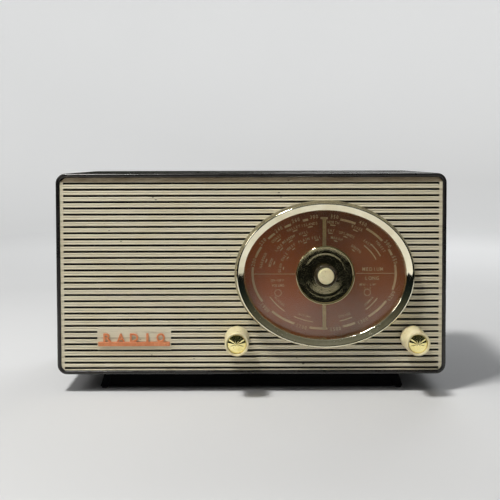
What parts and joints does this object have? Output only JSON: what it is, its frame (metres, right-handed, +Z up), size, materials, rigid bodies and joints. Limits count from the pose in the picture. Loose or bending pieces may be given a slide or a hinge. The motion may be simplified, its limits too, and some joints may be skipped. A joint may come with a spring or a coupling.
{
  "type": "tabletop radio",
  "caption": "Valve table radio with a black cabinet on splayed feet, a cream louvred front, an elliptical dial and turning tuning, volume and wave-change knobs.",
  "frame": {"origin": "bottom centre of the whole radio's box, on the surface that it stands on", "axes": "+Z up, the front faces -Y, +X to the right seen from the front"},
  "size_m": [0.34, 0.1738, 0.192],
  "materials": {
    "case_black": "moulded, satin, slightly worn",
    "panel_cream": "aged cream moulding, satin",
    "badge_coral": "satin enamel",
    "bezel_metal": "tarnished plating, polished",
    "clear_plastic": "clear, glossy",
    "dial_print": "printed copper brown, satin",
    "pointer_gold": "gold paint",
    "gilt": "polished, lacquered",
    "steel": "plated",
    "aluminium": "plain",
    "brown_plastic": "moulded phenolic",
    "speaker_cloth": "woven",
    "hardboard": "pressed board, brown",
    "cone_paper": "felted paper",
    "iron": "dark, matte",
    "valve_glass": "clear, silvered at the top",
    "ferrite": "sintered, dark grey, with wound coils",
    "rubber": "black, matte"
  },
  "bodies": {
    "cabinet": {"aerial_bracket": "steel", "badge_bar": "badge_coral", "base_skirt": "case_black", "cabinet_shell": "case_black", "chassis": "steel", "chassis_bolt_1": "steel", "chassis_bolt_2": "steel", "cover_screw_1": "steel", "cover_screw_2": "steel", "cover_screw_3": "steel", "cover_screw_4": "steel", "dial_bezel": "bezel_metal", "dial_lamp": "valve_glass", "dial_scale": "dial_print", "dial_window": "clear_plastic", "ferrite_rod": "ferrite", "front_grille": "panel_cream", "gang_frame": "aluminium", "if_can_1": "aluminium", "if_can_2": "aluminium", "left_foot": "case_black", "left_foot_strip": "rubber", "mains_grommet": "rubber", "output_transformer": "iron", "rear_cover": "hardboard", "right_foot": "case_black", "right_foot_strip": "rubber", "smoothing_can": "aluminium", "socket_strip": "brown_plastic", "speaker_baffle": "hardboard", "speaker_bolt_1": "steel", "speaker_bolt_2": "steel", "speaker_bolt_3": "steel", "speaker_bolt_4": "steel", "speaker_cloth": "speaker_cloth", "speaker_cone": "cone_paper", "speaker_frame": "steel", "speaker_magnet": "iron", "valve_1": "valve_glass", "valve_2": "valve_glass", "valve_3": "valve_glass", "valve_4": "valve_glass", "valve_holder_1": "brown_plastic", "valve_holder_2": "brown_plastic", "valve_holder_3": "brown_plastic", "valve_holder_4": "brown_plastic", "volume_control": "brown_plastic", "wave_control": "brown_plastic"},
    "tuning": {"tuning_dish": "gilt", "tuning_boss": "clear_plastic", "tuning_cap": "panel_cream", "pointer": "pointer_gold", "tuning_spindle": "steel", "gang_rotor": "aluminium"},
    "volume": {"volume_knob": "panel_cream", "volume_insert": "gilt", "volume_spindle": "steel"},
    "wave": {"wave_knob": "panel_cream", "wave_insert": "gilt", "wave_spindle": "steel"}
  },
  "joints": [
    {"name": "tuning_turn", "type": "hinge", "parent": "cabinet", "child": "tuning", "pos_m": [0.064, -0.0619, 0.1037], "axis": [0, 1, 0], "range_deg": [-90, 90]},
    {"name": "volume_turn", "type": "hinge", "parent": "cabinet", "child": "volume", "pos_m": [-0.0126, -0.0619, 0.048], "axis": [0, 1, 0], "range_deg": [0, 270]},
    {"name": "wave_turn", "type": "hinge", "parent": "cabinet", "child": "wave", "pos_m": [0.1406, -0.0619, 0.048], "axis": [0, 1, 0], "range_deg": [0, 60]}
  ]
}
